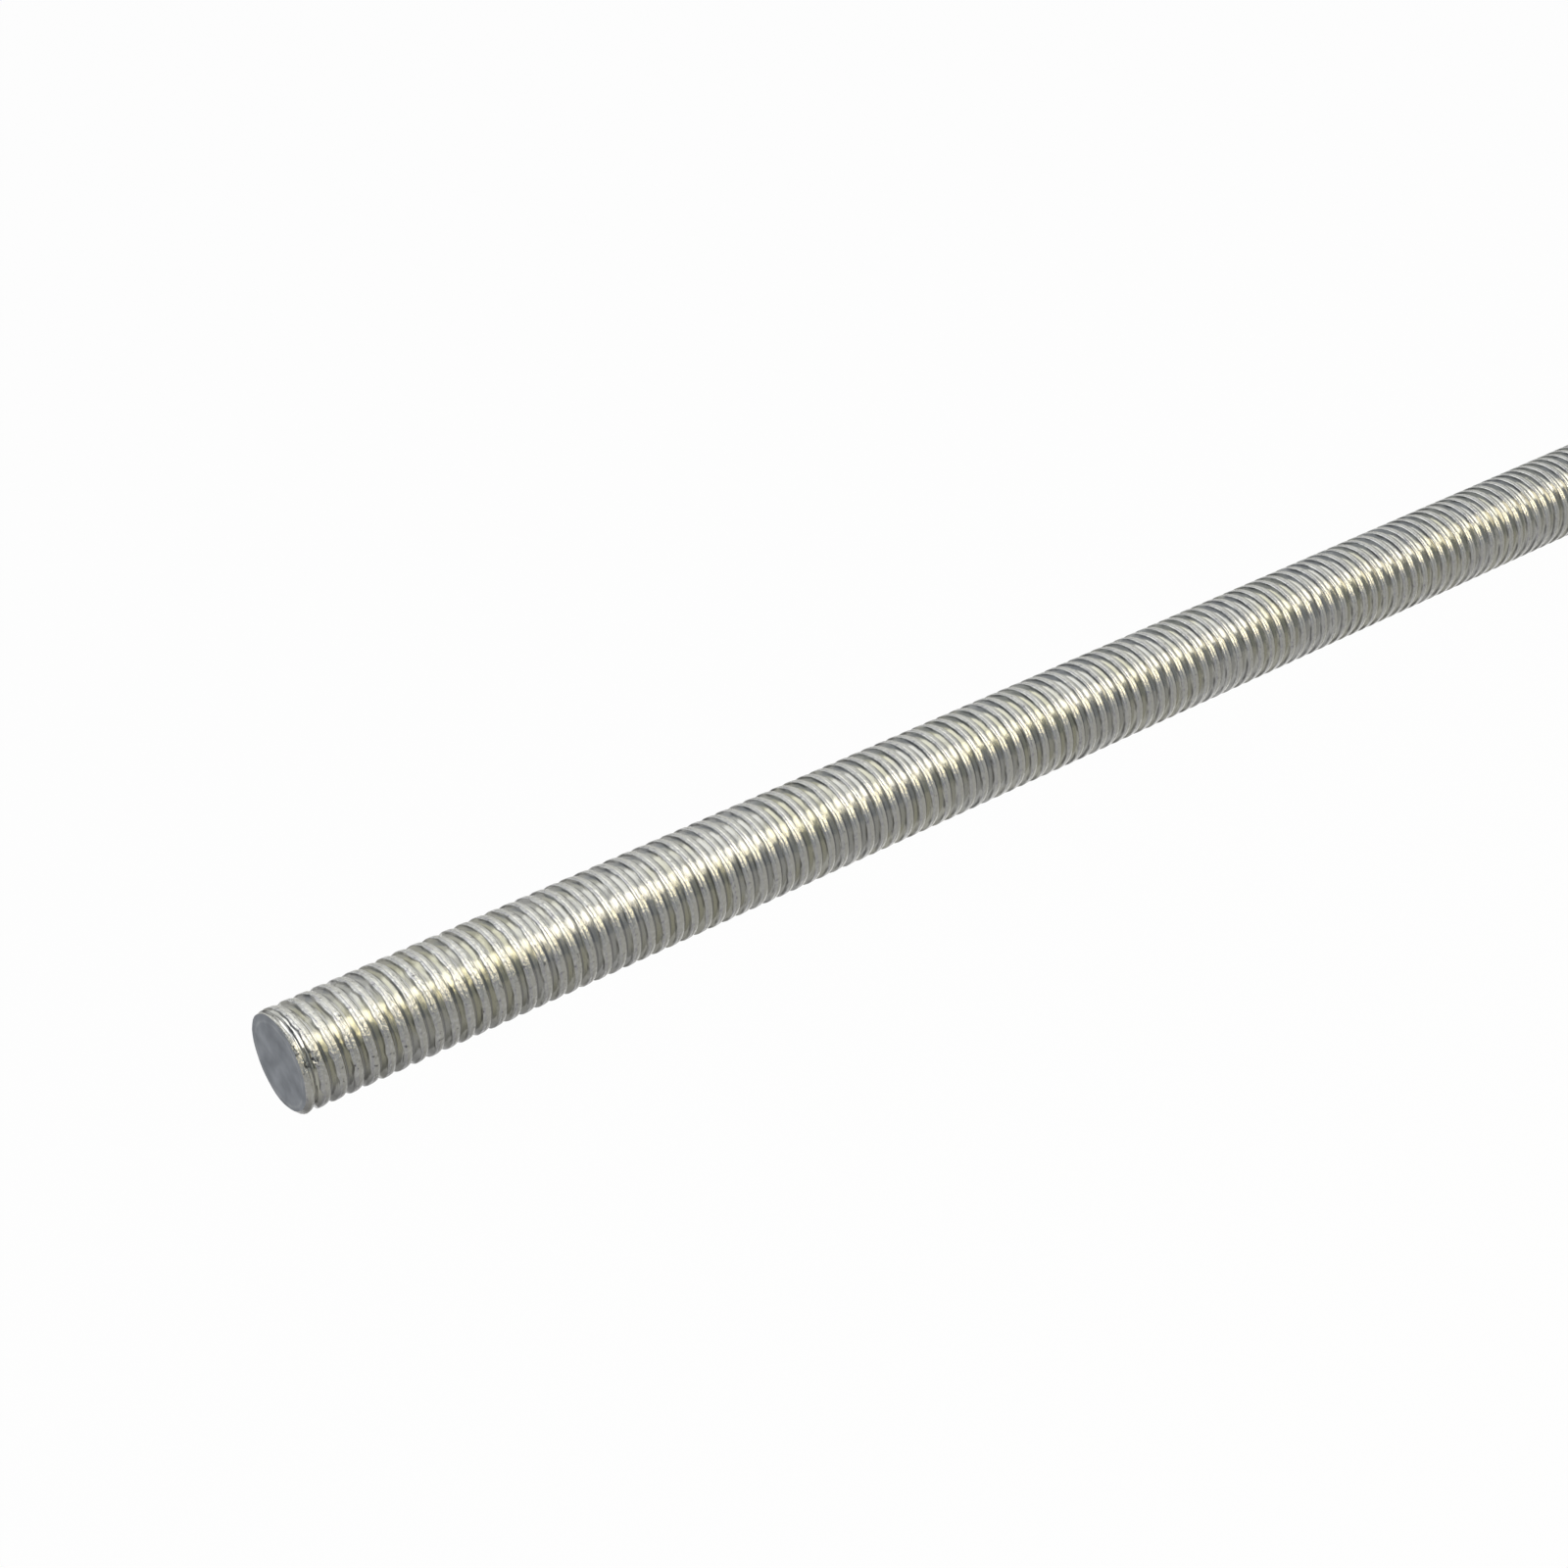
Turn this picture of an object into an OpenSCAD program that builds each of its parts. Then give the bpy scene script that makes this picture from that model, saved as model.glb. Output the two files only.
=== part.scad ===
// Threaded rod: one round steel bar with a coarse 60 degree metric thread rolled along all of it.
// The bar lies along +X. The origin is the centre of its first sawn end.
// Each turn of the thread is drawn as a closed ring with the true section and spacing of the
// thread. A ring closes on itself, so the solid has no lead and either hand of thread fits it.

/* [Bar] */
// Length of the bar between its two sawn ends
rod_len = 200; // [100:1:300]
// Width of the break on the rim of each sawn end
end_break = 0.15; // [0.05:0.05:0.4]

/* [Thread] */
// Diameter over the thread crests
major_d = 6; // [4.8:0.1:8]
// Distance from one turn to the next
pitch = 1; // [0.8:0.05:1.25]
// Angle between the two flanks of a groove
flank_angle = 60; // [54:1:62]

/* [Hidden] */
$fn = 96;
// Height of the sharp triangle that the thread is cut from
sharp_h = pitch / 2 / tan(flank_angle / 2);
// A crest is flat over an eighth of the pitch, and its triangle loses an eighth of its height
crest_w = pitch / 8;
// The root stops a sixth of the height above the triangle's inner point
groove_depth = sharp_h * (1 - 1 / 8 - 1 / 6);
root_w = pitch / 6;
flank_w = (pitch - crest_w - root_w) / 2;
crest_r = major_d / 2;
root_r = crest_r - groove_depth;
// The stock starts one turn before the first end and runs past the second one
turns = ceil(rod_len / pitch) + 2;
// Room between the crests and the outside of the blank that trims the stock
blank_margin = 1;

// Section of one turn, as [radius, distance along the bar], starting on a crest at x
function turn_section(x) = [
    [crest_r, x],
    [crest_r, x + crest_w],
    [root_r, x + crest_w + flank_w],
    [root_r, x + crest_w + flank_w + root_w],
];

// Threaded stock, longer than the bar at both ends
module stock() {
    start = -pitch - crest_w / 2;
    stop = start + turns * pitch;
    rotate_extrude()
        polygon(concat(
            [[0, start]],
            [for (i = [0 : turns - 1]) each turn_section(start + i * pitch)],
            [[crest_r, stop], [0, stop]]
        ));
}

// Plain blank of the finished length, with its two rims broken
module blank() {
    blank_r = crest_r + blank_margin;
    rim_r = crest_r - end_break;
    slope = blank_r - rim_r;
    rotate_extrude()
        polygon([
            [0, 0],
            [rim_r, 0],
            [blank_r, slope],
            [blank_r, rod_len - slope],
            [rim_r, rod_len],
            [0, rod_len]
        ]);
}

module threaded_rod() {
    color("#b9bcae")
        rotate([0, 90, 0])
            intersection() {
                stock();
                blank();
            }
}

threaded_rod();
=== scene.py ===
import math
import bpy
import bmesh
from mathutils import Matrix, Vector, noise


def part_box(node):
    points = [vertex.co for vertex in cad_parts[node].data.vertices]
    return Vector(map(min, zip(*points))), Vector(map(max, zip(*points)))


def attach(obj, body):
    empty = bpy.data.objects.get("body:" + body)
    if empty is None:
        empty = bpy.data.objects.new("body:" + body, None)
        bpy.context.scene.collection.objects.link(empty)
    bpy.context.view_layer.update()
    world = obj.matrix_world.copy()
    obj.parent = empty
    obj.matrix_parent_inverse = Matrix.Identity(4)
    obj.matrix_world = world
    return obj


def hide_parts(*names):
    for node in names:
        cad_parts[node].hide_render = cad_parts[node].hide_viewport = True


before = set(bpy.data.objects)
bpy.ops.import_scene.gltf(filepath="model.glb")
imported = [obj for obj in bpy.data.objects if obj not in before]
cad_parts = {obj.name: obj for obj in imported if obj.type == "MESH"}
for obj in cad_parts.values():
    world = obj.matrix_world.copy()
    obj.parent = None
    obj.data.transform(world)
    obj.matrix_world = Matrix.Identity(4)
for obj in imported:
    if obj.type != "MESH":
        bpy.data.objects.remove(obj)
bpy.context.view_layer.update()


# ---- Threaded rod: the bar and its rolled thread ----
# One drawn bar of low-carbon steel. Two flat dies rolled a right-hand thread into it, which pushed
# the metal of the grooves up into crests. Each crest is two lips that meet at a rough seam.

mm = 0.001
bar_low, bar_high = (Vector(corner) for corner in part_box("threaded_rod"))
bar_length = bar_high.x - bar_low.x
crest_radius = (bar_high.z - bar_low.z) / 2
pitch = 1.0 * mm
steps_per_turn = 42
# The thread is made longer than the bar, and both ends are sawn off it
first_x = bar_low.x - 1.4 * pitch
turns = math.ceil(bar_length / pitch) + 3

# Section of one turn: place along the turn as a share of the pitch, and depth below the crest in mm
turn_section = [
    (0.000, 0.030),
    (0.040, 0.004),
    (0.170, 0.000),
    (0.210, 0.016),
    (0.250, 0.004),
    (0.410, 0.022),
    (0.530, 0.065),
    (0.590, 0.145),
    (0.710, 0.350),
    (0.815, 0.350),
    (0.970, 0.092),
]
next_turn_start = (1.0, turn_section[0][1])
# Shares of the pitch where the near lip begins and ends, the crest ends and the root has its middle
near_lip_start = 0.95
near_lip_end = 0.10
crest_end = 0.58
root_middle = 0.765

# One turn is the section swept once round and a pitch along, and the bar is copies of that turn
rod = bmesh.new()
section_verts = [
    rod.verts.new((first_x + share * pitch, 0, crest_radius - depth * mm))
    for share, depth in turn_section + [next_turn_start]
]
section_edges = [rod.edges.new(pair) for pair in zip(section_verts, section_verts[1:])]
bmesh.ops.spin(
    rod, geom=section_verts + section_edges, cent=(0, 0, 0), axis=(1, 0, 0),
    dvec=(pitch / steps_per_turn, 0, 0), angle=math.tau, steps=steps_per_turn,
    use_merge=False, use_duplicate=False,
)
bmesh.ops.spin(
    rod, geom=rod.verts[:] + rod.edges[:] + rod.faces[:], cent=(0, 0, 0), axis=(1, 0, 0),
    dvec=(pitch, 0, 0), angle=0, steps=turns - 1, use_duplicate=True,
)
bmesh.ops.remove_doubles(rod, verts=rod.verts, dist=0.002 * mm)

# Both ends are sawn off square. Behind each rim the last groove is dragged shut, to a section of
# distances from the end and depths below the crest in mm. The rings where that section and the rim
# bend are scored first.
rim_break = 0.22 * mm
shut_groove = [
    (0.28, 0.04),
    (0.36, 0.14),
    (0.43, 0.12),
    (0.48, 0.03),
    (0.54, 0.15),
    (0.61, 0.04),
    (0.67, 0.17),
    (0.74, 0.04),
]
scored_rings = [rim_break, rim_break / 2] + [inside * mm for inside, depth in shut_groove]
for end_x, outward in ((bar_low.x, -1), (bar_high.x, 1)):
    for inside in scored_rings:
        bmesh.ops.bisect_plane(
            rod, geom=rod.verts[:] + rod.edges[:] + rod.faces[:],
            plane_co=(end_x - outward * inside, 0, 0), plane_no=(outward, 0, 0),
        )
    cut = bmesh.ops.bisect_plane(
        rod, geom=rod.verts[:] + rod.edges[:] + rod.faces[:],
        plane_co=(end_x, 0, 0), plane_no=(outward, 0, 0), clear_outer=True,
    )
    rim = [edge for edge in cut["geom_cut"] if isinstance(edge, bmesh.types.BMEdge)]
    for face in bmesh.ops.edgenet_fill(rod, edges=rim)["faces"]:
        face.material_index = 1
bmesh.ops.recalc_face_normals(rod, faces=rod.faces)

# Where the saw broke through it tore the first turn: place along the bar in mm, degrees from the top
# toward the front, width and depth in mm. The mesh there is cut finer, to take the dents later.
torn_spots = [
    (0.03, 46, 0.14, 0.12),
    (0.40, 61, 0.14, 0.12),
    (0.84, 60, 0.13, 0.12),
    (0.62, 64, 0.12, 0.05),
]
torn_middles = [
    Matrix.Rotation(math.radians(degrees), 3, "X") @ Vector((inside * mm, 0, crest_radius))
    for inside, degrees, wide, deep in torn_spots
]
finer_reach = 0.35 * mm
finer_edges = []
for edge in rod.edges:
    edge_middle = (edge.verts[0].co + edge.verts[1].co) / 2
    if min((edge_middle - torn_middle).length for torn_middle in torn_middles) < finer_reach:
        finer_edges.append(edge)
bmesh.ops.subdivide_edges(rod, edges=finer_edges, cuts=4, use_grid_fill=True)

# The dies leave flat flanks, so the corners at the lips and at the root stay crisp
crisp_angle = math.radians(30)
for edge in rod.edges:
    edge.smooth = edge.calc_face_angle(0) < crisp_angle

# Helix map: u counts millimetres along the thread, v counts millimetres across it
helix_map = rod.loops.layers.uv.new("helix")
turn_length = math.tau * crest_radius / mm
for face in rod.faces:
    face.smooth = face.material_index == 0
    face_middle = face.calc_center_median()
    angle = math.atan2(-face_middle.y, face_middle.z)
    turn = math.floor((face_middle.x - first_x) / pitch - angle / math.tau)
    for loop in face.loops:
        corner = loop.vert.co
        swing = math.atan2(-corner.y, corner.z) - angle
        swing = (swing + math.pi) % math.tau - math.pi
        around = (angle + swing) / math.tau
        across = (corner.x - first_x) / pitch - around - turn
        loop[helix_map].uv = ((turn + around) * turn_length, across * pitch / mm)

# The lips of a rolled crest are torn and folded by hundredths of a millimetre, the near one most, and
# worse toward the first end, where the bar entered the dies. The waves are counted per millimetre.
near_tear = 0.17 * mm
far_tear = 0.03 * mm
crest_dip = 0.014 * mm
rough_start = 14 * mm
least_tear = 0.3
long_waves = 0.8
short_waves = 1.7
for vert in rod.verts:
    radius = math.hypot(vert.co.y, vert.co.z)
    share = ((vert.co.x - first_x) / pitch - math.atan2(-vert.co.y, vert.co.z) / math.tau) % 1
    near_lip = share < near_lip_end or share > near_lip_start
    if not near_lip and share > crest_end + 0.01:
        continue
    spot = vert.co / mm
    tear = 0.6 * noise.noise(spot * long_waves)
    tear += 0.9 * noise.noise(spot * short_waves + Vector((7, 3, 5)))
    tear *= least_tear + (1 - least_tear) * math.exp(-(vert.co.x - bar_low.x) / rough_start)
    dip = abs(noise.noise(spot * short_waves + Vector((2, 9, 4))))
    if bar_low.x < vert.co.x < bar_high.x:
        reach = near_tear if near_lip else far_tear
        vert.co.x = min(max(vert.co.x + reach * tear, bar_low.x), bar_high.x)
    lowered = (radius - crest_dip * dip) / radius
    vert.co.y *= lowered
    vert.co.z *= lowered

# The dragged metal shuts the groove to two fine score lines at the top, and leaves it open underneath.
# A scored ring counts as reached a micrometre early.
shut_share = 0.6
ring_slack = 0.001
for vert in rod.verts:
    inside = min(vert.co.x - bar_low.x, bar_high.x - vert.co.x) / mm
    radius = math.hypot(vert.co.y, vert.co.z)
    for (start, start_depth), (stop, stop_depth) in zip(shut_groove, shut_groove[1:]):
        if not start - ring_slack <= inside <= stop + ring_slack:
            continue
        depth = start_depth + (inside - start) / (stop - start) * (stop_depth - start_depth)
        filled = crest_radius - depth * mm
        if filled > radius:
            amount = min(1, max(0, shut_share + vert.co.z / radius))
            grown = 1 + amount * (filled / radius - 1)
            vert.co.y *= grown
            vert.co.z *= grown
        break

# Press the torn spots in, deepest at their middles
for vert in rod.verts:
    for torn_middle, (inside, degrees, wide, deep) in zip(torn_middles, torn_spots):
        nearness = 1 - (vert.co - torn_middle).length / (wide * mm)
        if nearness > 0:
            lowered = 1 - deep * mm * nearness * (2 - nearness) / crest_radius
            vert.co.y *= lowered
            vert.co.z *= lowered

# Break both rims as a few strokes of a file leave them, hardly at the top and more underneath
for vert in rod.verts:
    inside = min(vert.co.x - bar_low.x, bar_high.x - vert.co.x)
    radius = math.hypot(vert.co.y, vert.co.z)
    uneven = 0.9 - 0.5 * vert.co.z / radius + 0.3 * noise.noise(vert.co * long_waves / mm)
    allowed = crest_radius - max(0, rim_break * uneven - inside)
    if radius > allowed:
        vert.co.y *= allowed / radius
        vert.co.z *= allowed / radius

bmesh.ops.remove_doubles(rod, verts=rod.verts, dist=0.001 * mm)

rod_mesh = bpy.data.meshes.new("threaded_rod_visual")
rod.to_mesh(rod_mesh)
rod.free()
rod_object = bpy.data.objects.new("threaded_rod_visual", rod_mesh)
bpy.context.scene.collection.objects.link(rod_object)


def linear(code):
    """Colour written as sRGB hex, as linear RGBA."""
    channels = [int(code[i:i + 2], 16) / 255 for i in (1, 3, 5)]
    return [c / 12.92 if c < 0.04045 else ((c + 0.055) / 1.055) ** 2.4 for c in channels] + [1.0]


def add_node(tree, kind, links=(), values=(), **settings):
    """Add a node. Links pair another node's output with an input, values pair an input with a
    constant, and settings are the node's own properties."""
    node = tree.nodes.new(kind)
    for name, setting in settings.items():
        setattr(node, name, setting)
    for socket, value in values:
        node.inputs[socket].default_value = value
    for source, socket in links:
        tree.links.new(source, node.inputs[socket])
    return node


# Electroplated zinc with a pale passivate: a bright metal with faint straw and violet films. The dies
# burnish the flanks, while the crests keep streaks along the helix and a grain of small blisters.
zinc = bpy.data.materials.new("zinc_plated_steel")
zinc.use_nodes = True
tree = zinc.node_tree
tree.nodes.clear()
helix = add_node(tree, "ShaderNodeUVMap", uv_map="helix")
helix_parts = add_node(tree, "ShaderNodeSeparateXYZ", [(helix.outputs["UV"], "Vector")])
across_turn = helix_parts.outputs["Y"]
solid = add_node(tree, "ShaderNodeTexCoord")
in_mm = add_node(
    tree, "ShaderNodeMapping", [(solid.outputs["Object"], "Vector")], [("Scale", [1 / mm] * 3)],
)
mm_parts = add_node(tree, "ShaderNodeSeparateXYZ", [(in_mm.outputs[0], "Vector")])

# Parts of a turn: the whole crest, its far lip, the root, which is darkened as painted shade, and the band
# under the near lip, which is darkened as a painted shadow
crest = add_node(
    tree, "ShaderNodeMapRange", [(across_turn, "Value")],
    [("From Min", crest_end - 0.02), ("From Max", crest_end + 0.01), ("To Min", 1.0), ("To Max", 0.0)],
    interpolation_type="SMOOTHSTEP",
)
far_half = add_node(
    tree, "ShaderNodeMapRange", [(across_turn, "Value")], [("From Min", 0.19), ("From Max", 0.25)],
    interpolation_type="SMOOTHSTEP",
)
off_root = add_node(tree, "ShaderNodeMath", [(across_turn, 0)], [(1, root_middle)], operation="SUBTRACT")
off_root = add_node(tree, "ShaderNodeMath", [(off_root.outputs[0], 0)], operation="ABSOLUTE")
# Painted shade: the root of the groove is darkened toward the dark colour, most at its middle
root_painted_shade = add_node(
    tree, "ShaderNodeMapRange", [(off_root.outputs[0], "Value")],
    [("From Min", 0.02), ("From Max", 0.07), ("To Min", 0.7), ("To Max", 0.0)],
)
# Painted shadow: a band at the top of the flank, just under the near lip, is darkened
under_lip_shadow_band = add_node(
    tree, "ShaderNodeMapRange", [(across_turn, "Value")], [("From Min", 0.90), ("From Max", 0.965)],
    interpolation_type="SMOOTHSTEP",
)

# Rolling streaks are 0.1 mm wide and 1 mm long, blisters and pits 0.2 mm, and films a few millimetres
streaks_per_mm = (1.0, 10.0, 1.0)
blisters_per_mm = 4.5
films_per_mm = 0.25
along_helix = add_node(
    tree, "ShaderNodeMapping", [(helix.outputs["UV"], "Vector")], [("Scale", streaks_per_mm)],
)
streaks = add_node(
    tree, "ShaderNodeTexNoise", [(along_helix.outputs[0], "Vector")], [("Scale", 1.0), ("Detail", 4.0)],
)
blisters = add_node(
    tree, "ShaderNodeTexNoise", [(in_mm.outputs[0], "Vector")],
    [("Scale", blisters_per_mm), ("Detail", 4.0), ("Roughness", 0.6)],
)
pits = add_node(
    tree, "ShaderNodeTexNoise", [(in_mm.outputs[0], "Vector")],
    [("Scale", blisters_per_mm), ("Detail", 3.0), ("Roughness", 0.55)],
)
films = add_node(
    tree, "ShaderNodeTexNoise", [(in_mm.outputs[0], "Vector")], [("Scale", films_per_mm), ("Detail", 2.0)],
)

# The crests are roughest over the first few millimetres of the bar
rough_end = add_node(
    tree, "ShaderNodeMapRange", [(mm_parts.outputs["X"], "Value")],
    [("From Min", 4.0), ("From Max", 30.0), ("To Min", 1.0), ("To Max", 0.45)],
)
rough_crest = add_node(
    tree, "ShaderNodeMath", [(rough_end.outputs[0], 0), (crest.outputs[0], 1)], operation="MULTIPLY",
)
pit_dark = add_node(
    tree, "ShaderNodeMapRange", [(pits.outputs[0], "Value"), (rough_crest.outputs[0], "To Max")],
    [("From Min", 0.62), ("From Max", 0.74)],
)
pale_zinc = add_node(
    tree, "ShaderNodeMapRange", [(pits.outputs[0], "Value"), (rough_crest.outputs[0], "To Max")],
    [("From Min", 0.47), ("From Max", 0.30)],
)
# The painted shadow under the near lip is made stronger or weaker along the helix by the streaks
lip_shadow_strength = add_node(
    tree, "ShaderNodeMapRange", [(streaks.outputs[0], "Value")],
    [("From Min", 0.38), ("From Max", 0.62), ("To Max", 0.8)],
)
lip_painted_shadow = add_node(
    tree, "ShaderNodeMath", [(under_lip_shadow_band.outputs[0], 0), (lip_shadow_strength.outputs[0], 1)], operation="MULTIPLY",
)

# Painted shade: the underside of the bar is darker near the first end, fading out by 42 mm along the bar
underside_shade_fade = add_node(
    tree, "ShaderNodeMapRange", [(mm_parts.outputs["X"], "Value")],
    [("From Min", 2.0), ("From Max", 42.0), ("To Min", 0.65), ("To Max", 0.0)],
)
underside_painted_shade = add_node(
    tree, "ShaderNodeMapRange", [(mm_parts.outputs["Z"], "Value"), (underside_shade_fade.outputs[0], "To Max")],
    [("From Min", -0.3), ("From Max", -1.5)],
)
# The darks are the crest pits and the painted shade and shadow: in the root, under the near lip, on the
# underside near the first end and in the torn spots
dark_parts = [root_painted_shade, pit_dark, lip_painted_shadow, underside_painted_shade]

# The dents of the torn spots get painted shade, darkest at their middles, broken up by the same grain as the
# pits
torn_grain = add_node(
    tree, "ShaderNodeMapRange", [(pits.outputs[0], "Value")], [("From Min", 0.44), ("From Max", 0.54)],
)
for torn_middle, (inside, degrees, wide, deep) in zip(torn_middles, torn_spots):
    gap = add_node(
        tree, "ShaderNodeVectorMath", [(in_mm.outputs[0], 0)], [(1, torn_middle / mm)],
        operation="DISTANCE",
    )
    torn = add_node(
        tree, "ShaderNodeMapRange", [(gap.outputs["Value"], "Value")],
        [
            ("From Min", 0.4 * wide + deep), ("From Max", 1.1 * wide + deep),
            ("To Min", 9 * deep), ("To Max", 0.0),
        ],
    )
    torn_painted_shade = add_node(
        tree, "ShaderNodeMath", [(torn.outputs[0], 0), (torn_grain.outputs[0], 1)], operation="MULTIPLY",
    )
    dark_parts.append(torn_painted_shade)

dark = dark_parts[0]
for dark_part in dark_parts[1:]:
    dark = add_node(
        tree, "ShaderNodeMath", [(dark.outputs[0], 0), (dark_part.outputs[0], 1)], operation="MAXIMUM",
    )

# Straw film on flanks, violet film on the near lip, pale bare zinc on the crests, and on top the darks: dark
# pits on the crests, and painted shade in the root, under the near lip, on the underside near the first end
# and in the torn spots
straw = add_node(
    tree, "ShaderNodeMapRange", [(films.outputs[0], "Value")], [("From Min", 0.40), ("From Max", 0.62)],
    interpolation_type="SMOOTHSTEP",
)
violet = add_node(
    tree, "ShaderNodeMapRange", [(blisters.outputs[0], "Value")], [("From Min", 0.45), ("From Max", 0.65)],
    interpolation_type="SMOOTHSTEP",
)
flank_colour = add_node(
    tree, "ShaderNodeMix", [(straw.outputs[0], 0)], [(6, linear("#dadad7")), (7, linear("#d9d8cc"))],
    data_type="RGBA",
)
near_colour = add_node(
    tree, "ShaderNodeMix", [(violet.outputs[0], 0)], [(6, linear("#d2d2ce")), (7, linear("#c9c8cb"))],
    data_type="RGBA",
)
crest_colour = add_node(
    tree, "ShaderNodeMix", [(far_half.outputs[0], 0), (near_colour.outputs[2], 6)],
    [(7, linear("#d4d3cb"))], data_type="RGBA",
)
turn_colour = add_node(
    tree, "ShaderNodeMix",
    [(crest.outputs[0], 0), (flank_colour.outputs[2], 6), (crest_colour.outputs[2], 7)],
    data_type="RGBA",
)
clean_colour = add_node(
    tree, "ShaderNodeMix", [(pale_zinc.outputs[0], 0), (turn_colour.outputs[2], 6)],
    [(7, linear("#e6e6e3"))], data_type="RGBA",
)
metal_colour = add_node(
    tree, "ShaderNodeMix", [(dark.outputs[0], 0), (clean_colour.outputs[2], 6)],
    [(7, linear("#5e5e5e"))], data_type="RGBA",
)

# Burnished flanks have a tenth of the crests' grain and a little more gloss
gloss = add_node(
    tree, "ShaderNodeMapRange", [(crest.outputs[0], "Value")], [("To Min", 0.17), ("To Max", 0.22)],
)
crest_grain = add_node(
    tree, "ShaderNodeMapRange", [(crest.outputs[0], "Value"), (rough_end.outputs[0], "To Max")],
    [("To Min", 0.10)],
)
streak_bump = add_node(
    tree, "ShaderNodeBump", [(streaks.outputs[0], "Height"), (crest_grain.outputs[0], "Strength")],
    [("Distance", 0.040 * mm)],
)
blister_bump = add_node(
    tree, "ShaderNodeBump",
    [
        (blisters.outputs[0], "Height"), (crest_grain.outputs[0], "Strength"),
        (streak_bump.outputs[0], "Normal"),
    ],
    [("Distance", 0.048 * mm)],
)
shader = add_node(
    tree, "ShaderNodeBsdfPrincipled",
    [
        (metal_colour.outputs[2], "Base Color"), (gloss.outputs[0], "Roughness"),
        (blister_bump.outputs[0], "Normal"),
    ],
    [("Metallic", 1.0)],
)
add_node(tree, "ShaderNodeOutputMaterial", [(shader.outputs[0], "Surface")])

# The sawn face was plated thinly over the marks of a cut-off disc, so it is a dull slate grey
sawn = bpy.data.materials.new("sawn_end_face")
sawn.use_nodes = True
tree = sawn.node_tree
tree.nodes.clear()
solid = add_node(tree, "ShaderNodeTexCoord")
in_mm = add_node(
    tree, "ShaderNodeMapping", [(solid.outputs["Object"], "Vector")], [("Scale", [1 / mm] * 3)],
)
haze = add_node(
    tree, "ShaderNodeTexNoise", [(in_mm.outputs[0], "Vector")], [("Scale", 0.9), ("Detail", 5.0)],
)
haze = add_node(
    tree, "ShaderNodeMapRange", [(haze.outputs[0], "Value")], [("From Min", 0.3), ("From Max", 0.7)],
)
slate_colour = add_node(
    tree, "ShaderNodeMix", [(haze.outputs[0], 0)], [(6, linear("#8e939c")), (7, linear("#b6bbc3"))],
    data_type="RGBA",
)

# A burr that the disc rolled over and the file flattened leaves a pale ring inside the rim
ring_radius_mm = 2.45
across_face = add_node(
    tree, "ShaderNodeVectorMath", [(in_mm.outputs[0], 0)], [(1, (0, 1, 1))], operation="MULTIPLY",
)
from_middle = add_node(tree, "ShaderNodeVectorMath", [(across_face.outputs[0], 0)], operation="LENGTH")
from_ring = add_node(
    tree, "ShaderNodeMath", [(from_middle.outputs["Value"], 0)], [(1, ring_radius_mm)],
    operation="SUBTRACT",
)
from_ring = add_node(tree, "ShaderNodeMath", [(from_ring.outputs[0], 0)], operation="ABSOLUTE")
ring_share = add_node(
    tree, "ShaderNodeMapRange", [(from_ring.outputs[0], "Value"), (haze.outputs[0], "To Min")],
    [("From Min", 0.02), ("From Max", 0.12), ("To Max", 0.0)],
)
sawn_colour = add_node(
    tree, "ShaderNodeMix", [(ring_share.outputs[0], 0), (slate_colour.outputs[2], 6)],
    [(7, linear("#c6c9cd"))], data_type="RGBA",
)

# A disc's marks are a few hundredths of a millimetre apart, and are drawn 0.1 mm apart so that they show
marks_per_mm = (1.0, 1.5, 9.0)
along_marks = add_node(
    tree, "ShaderNodeMapping", [(in_mm.outputs[0], "Vector")], [("Scale", marks_per_mm)],
)
disc_marks = add_node(
    tree, "ShaderNodeTexNoise", [(along_marks.outputs[0], "Vector")], [("Scale", 1.0), ("Detail", 3.0)],
)
disc_bump = add_node(
    tree, "ShaderNodeBump", [(disc_marks.outputs[0], "Height")], [("Distance", 0.020 * mm)],
)
shader = add_node(
    tree, "ShaderNodeBsdfPrincipled",
    [(sawn_colour.outputs[2], "Base Color"), (disc_bump.outputs[0], "Normal")],
    [("Metallic", 1.0), ("Roughness", 0.42)],
)
add_node(tree, "ShaderNodeOutputMaterial", [(shader.outputs[0], "Surface")])

rod_mesh.materials.append(zinc)
rod_mesh.materials.append(sawn)
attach(rod_object, "root")
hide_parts("threaded_rod")


# ---- Backdrop sheet ----
# A graduated studio sheet of matt plastic, well below the bar, which a clamp outside the view holds
# by its thread. The sheet is white where the camera looks and fades to pale grey all round that.

sheet_drop = 400 * mm
sheet_half_side = 60.0
sheet = bmesh.new()
bmesh.ops.create_grid(sheet, x_segments=1, y_segments=1, size=sheet_half_side)
bmesh.ops.translate(sheet, verts=sheet.verts, vec=(0, 0, bar_low.z - sheet_drop))
sheet_mesh = bpy.data.meshes.new("backdrop_sheet")
sheet.to_mesh(sheet_mesh)
sheet.free()
sheet_object = bpy.data.objects.new("backdrop_sheet", sheet_mesh)
bpy.context.scene.collection.objects.link(sheet_object)

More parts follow.
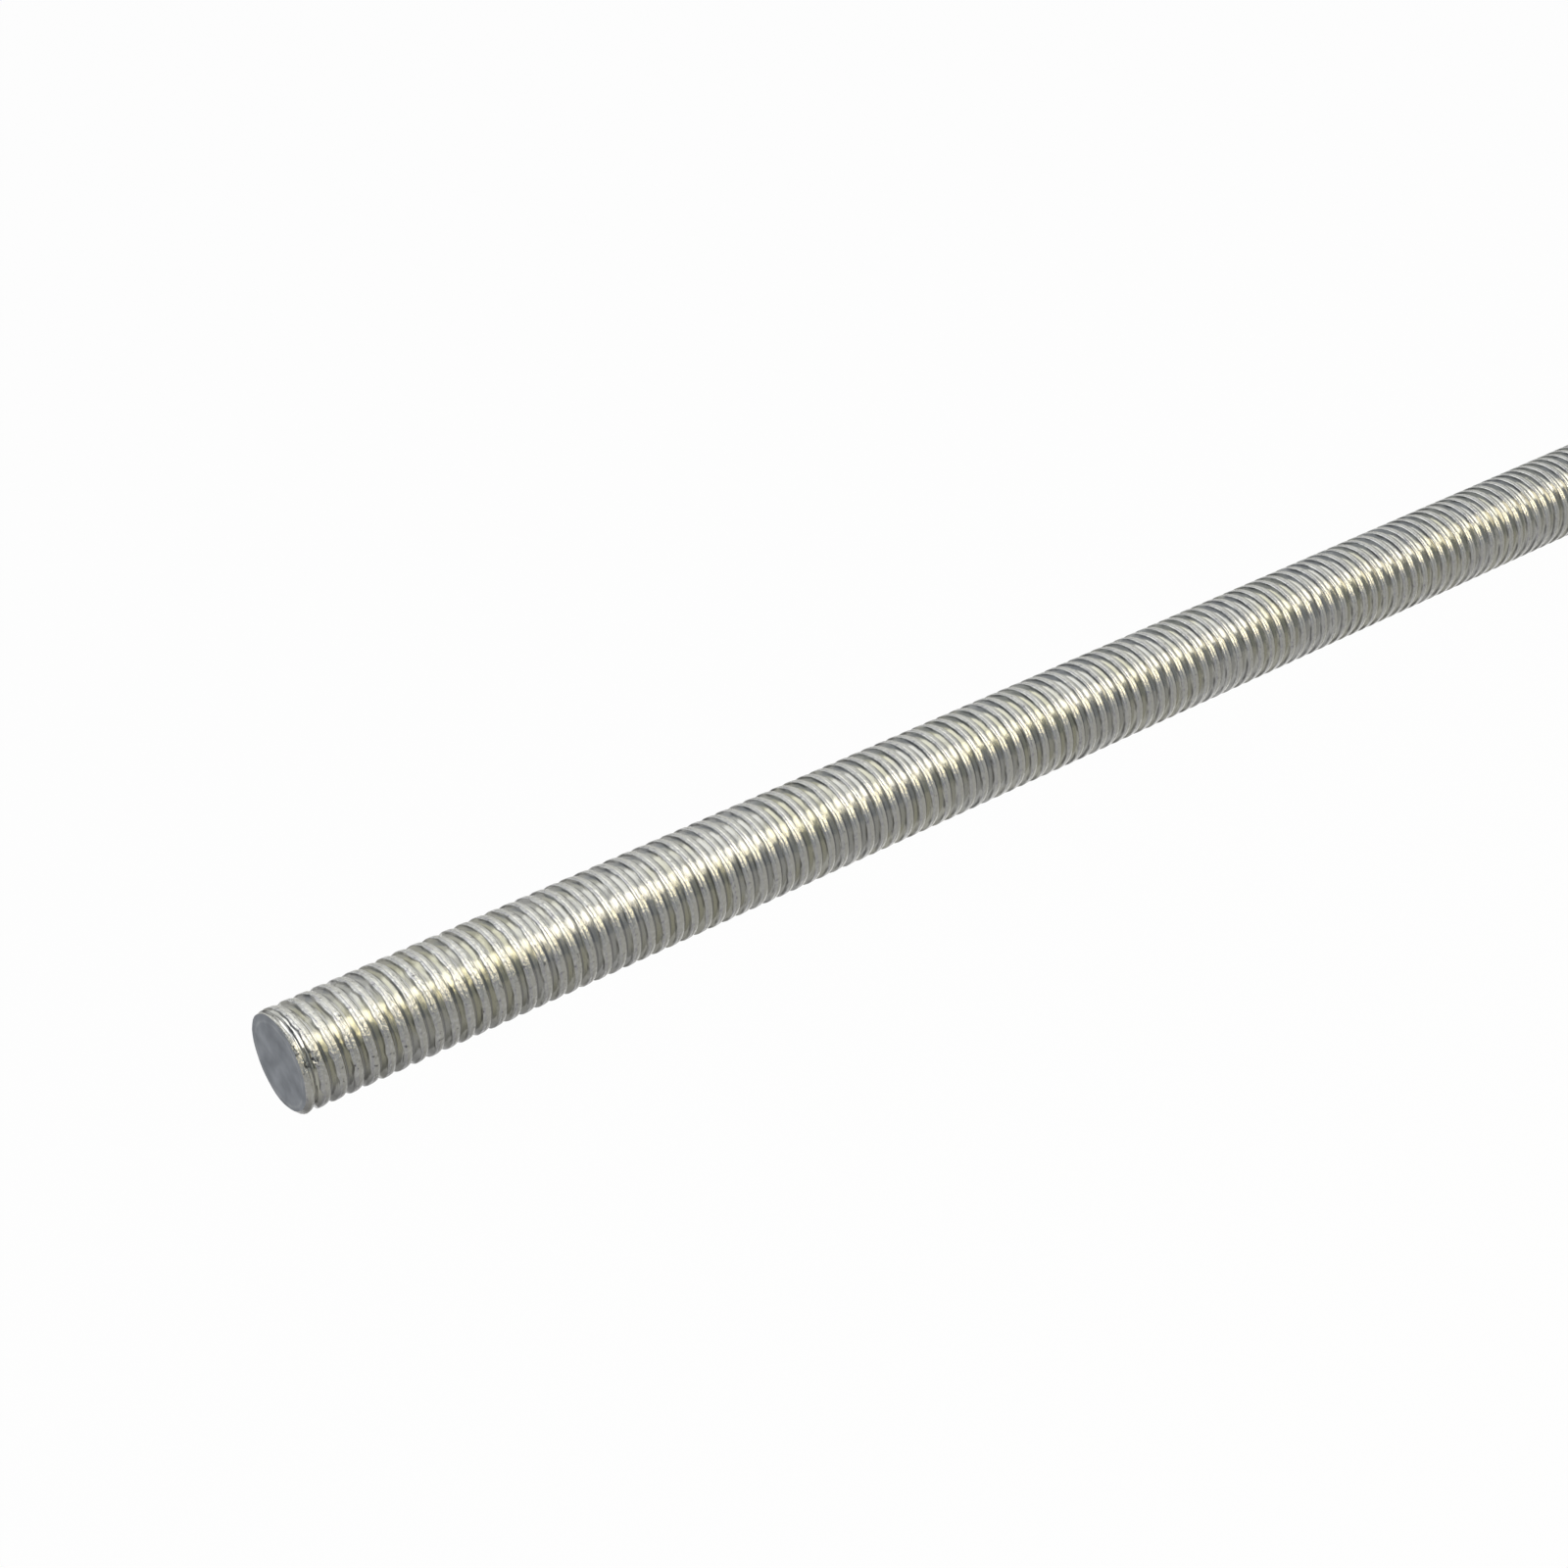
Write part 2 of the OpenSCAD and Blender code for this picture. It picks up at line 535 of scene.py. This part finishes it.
# The white part is an oval, given in metres by its middle and its half-axes, and by its turn
white_middle = (0.585, 0.749, 0)
white_turn = math.radians(-38)
white_reach = (0.95, 0.85, 1)
matt = bpy.data.materials.new("matt_graduated_plastic")
matt.use_nodes = True
tree = matt.node_tree
tree.nodes.clear()
solid = add_node(tree, "ShaderNodeTexCoord")
oval = add_node(
    tree, "ShaderNodeMapping", [(solid.outputs["Object"], "Vector")],
    [("Location", white_middle), ("Rotation", (0, 0, white_turn)), ("Scale", white_reach)],
    vector_type="TEXTURE",
)
flat = add_node(tree, "ShaderNodeVectorMath", [(oval.outputs[0], 0)], [(1, (1, 1, 0))], operation="MULTIPLY")
from_white = add_node(tree, "ShaderNodeVectorMath", [(flat.outputs[0], 0)], operation="LENGTH")
fade = add_node(
    tree, "ShaderNodeMapRange", [(from_white.outputs["Value"], "Value")],
    [("From Min", 0.80), ("From Max", 0.96)], interpolation_type="SMOOTHSTEP",
)
sheet_colour = add_node(
    tree, "ShaderNodeMix", [(fade.outputs[0], 0)], [(6, linear("#ffffff")), (7, linear("#b2b2b1"))],
    data_type="RGBA",
)
ray = add_node(tree, "ShaderNodeLightPath")
seen = add_node(
    tree, "ShaderNodeMath", [(ray.outputs["Is Camera Ray"], 0), (ray.outputs["Is Glossy Ray"], 1)],
    operation="MAXIMUM",
)
seen = add_node(
    tree, "ShaderNodeMath", [(seen.outputs[0], 0), (ray.outputs["Is Transmission Ray"], 1)],
    operation="MAXIMUM",
)
# The glow evens the sheet out, and the rest of the surface keeps the bar's shadow
glow_share = add_node(tree, "ShaderNodeMath", [(seen.outputs[0], 0)], [(1, 0.96)], operation="MULTIPLY")
lit = add_node(tree, "ShaderNodeBsdfDiffuse", [(sheet_colour.outputs[2], "Color")])
glow = add_node(tree, "ShaderNodeEmission", [(sheet_colour.outputs[2], "Color")], [("Strength", 1.0)])
surface = add_node(
    tree, "ShaderNodeMixShader",
    [(glow_share.outputs[0], 0), (lit.outputs[0], 1), (glow.outputs[0], 2)],
)
add_node(tree, "ShaderNodeOutputMaterial", [(surface.outputs[0], "Surface")])
sheet_mesh.materials.append(matt)


# ---- Lights ----
# Level soft boxes side by side over and in front of the bar, warmer toward its far end, a weaker one
# behind them, and a card that faces the first end. The room is pale behind the bar and dimmer in
# front of it.

def soft_box(name, level, size, place, aim, colour):
    """Rectangular lamp that looks as bright as level times white, aimed at a point."""
    lamp = bpy.data.lights.new(name, "AREA")
    lamp.shape = "RECTANGLE"
    lamp.size, lamp.size_y = size
    lamp.energy = level * math.pi * size[0] * size[1]
    lamp.color = linear(colour)[:3]
    lamp_object = bpy.data.objects.new(name, lamp)
    turned = (Vector(aim) - Vector(place)).to_track_quat("-Z", "Y").to_matrix().to_4x4()
    lamp_object.matrix_world = Matrix.Translation(place) @ turned
    bpy.context.scene.collection.objects.link(lamp_object)


box_height = 0.50
soft_box("key_box", 2.5, (0.30, 0.27), (0.19, -0.245, box_height), (0.19, -0.245, 0), "#fffaf0")
soft_box("warm_box", 2.6, (0.16, 0.40), (0.42, -0.330, box_height), (0.42, -0.330, 0), "#fff4d6")
soft_box("amber_box", 2.9, (0.76, 0.62), (1.14, -0.630, box_height), (1.14, -0.630, 0), "#fff0c4")
soft_box("fill_box", 0.9, (0.36, 0.55), (0.06, 0.165, box_height), (0.06, 0.165, 0), "#ffffff")
soft_box("end_card", 1.5, (0.30, 0.28), (-0.85, -0.18, 0.20), (0.10, 0, 0), "#fff1c8")

# The room is brightest behind and above the bar's far end, but not in line with the bar
bright_side = (0.90, 0.65, 0.30)
world = bpy.data.worlds.new("room")
bpy.context.scene.world = world
world.use_nodes = True
room = world.node_tree
direction = add_node(room, "ShaderNodeTexCoord")
toward_bright = add_node(
    room, "ShaderNodeVectorMath", [(direction.outputs["Generated"], 0)], [(1, bright_side)],
    operation="DOT_PRODUCT",
)
paleness = add_node(
    room, "ShaderNodeMapRange", [(toward_bright.outputs["Value"], "Value")],
    [("From Min", -0.05), ("From Max", 0.55)],
)
direction_parts = add_node(room, "ShaderNodeSeparateXYZ", [(direction.outputs["Generated"], "Vector")])
in_line = add_node(
    room, "ShaderNodeMapRange", [(direction_parts.outputs["X"], "Value")],
    [("From Min", 0.76), ("From Max", 0.92), ("To Max", 0.85)], interpolation_type="SMOOTHSTEP",
)
brightness = add_node(
    room, "ShaderNodeMath", [(paleness.outputs[0], 0), (in_line.outputs[0], 1)],
    operation="SUBTRACT", use_clamp=True,
)
room_colour = add_node(
    room, "ShaderNodeMix", [(brightness.outputs[0], 0)],
    [(6, linear("#8c9095")), (7, linear("#e2e3e3"))], data_type="RGBA",
)
room.links.new(room_colour.outputs[2], room.nodes["Background"].inputs["Color"])


# ---- Camera ----
# Above the bar and beside its first end, looking down along it, so that the end face shows and the
# far half of the bar runs out of the frame.

camera = bpy.data.cameras.new("camera")
camera.lens = 63.65
camera.clip_start = 0.005
camera_object = bpy.data.objects.new("camera", camera)
camera_place = Vector((-49.26, -105.92, 92.88)) * mm
camera_aim = Vector((35.35, 1.92, 2.28)) * mm
camera_turn = (camera_aim - camera_place).to_track_quat("-Z", "Y").to_matrix().to_4x4()
camera_object.matrix_world = Matrix.Translation(camera_place) @ camera_turn
bpy.context.scene.collection.objects.link(camera_object)
bpy.context.scene.camera = camera_object
bpy.context.scene.view_settings.view_transform = "Standard"
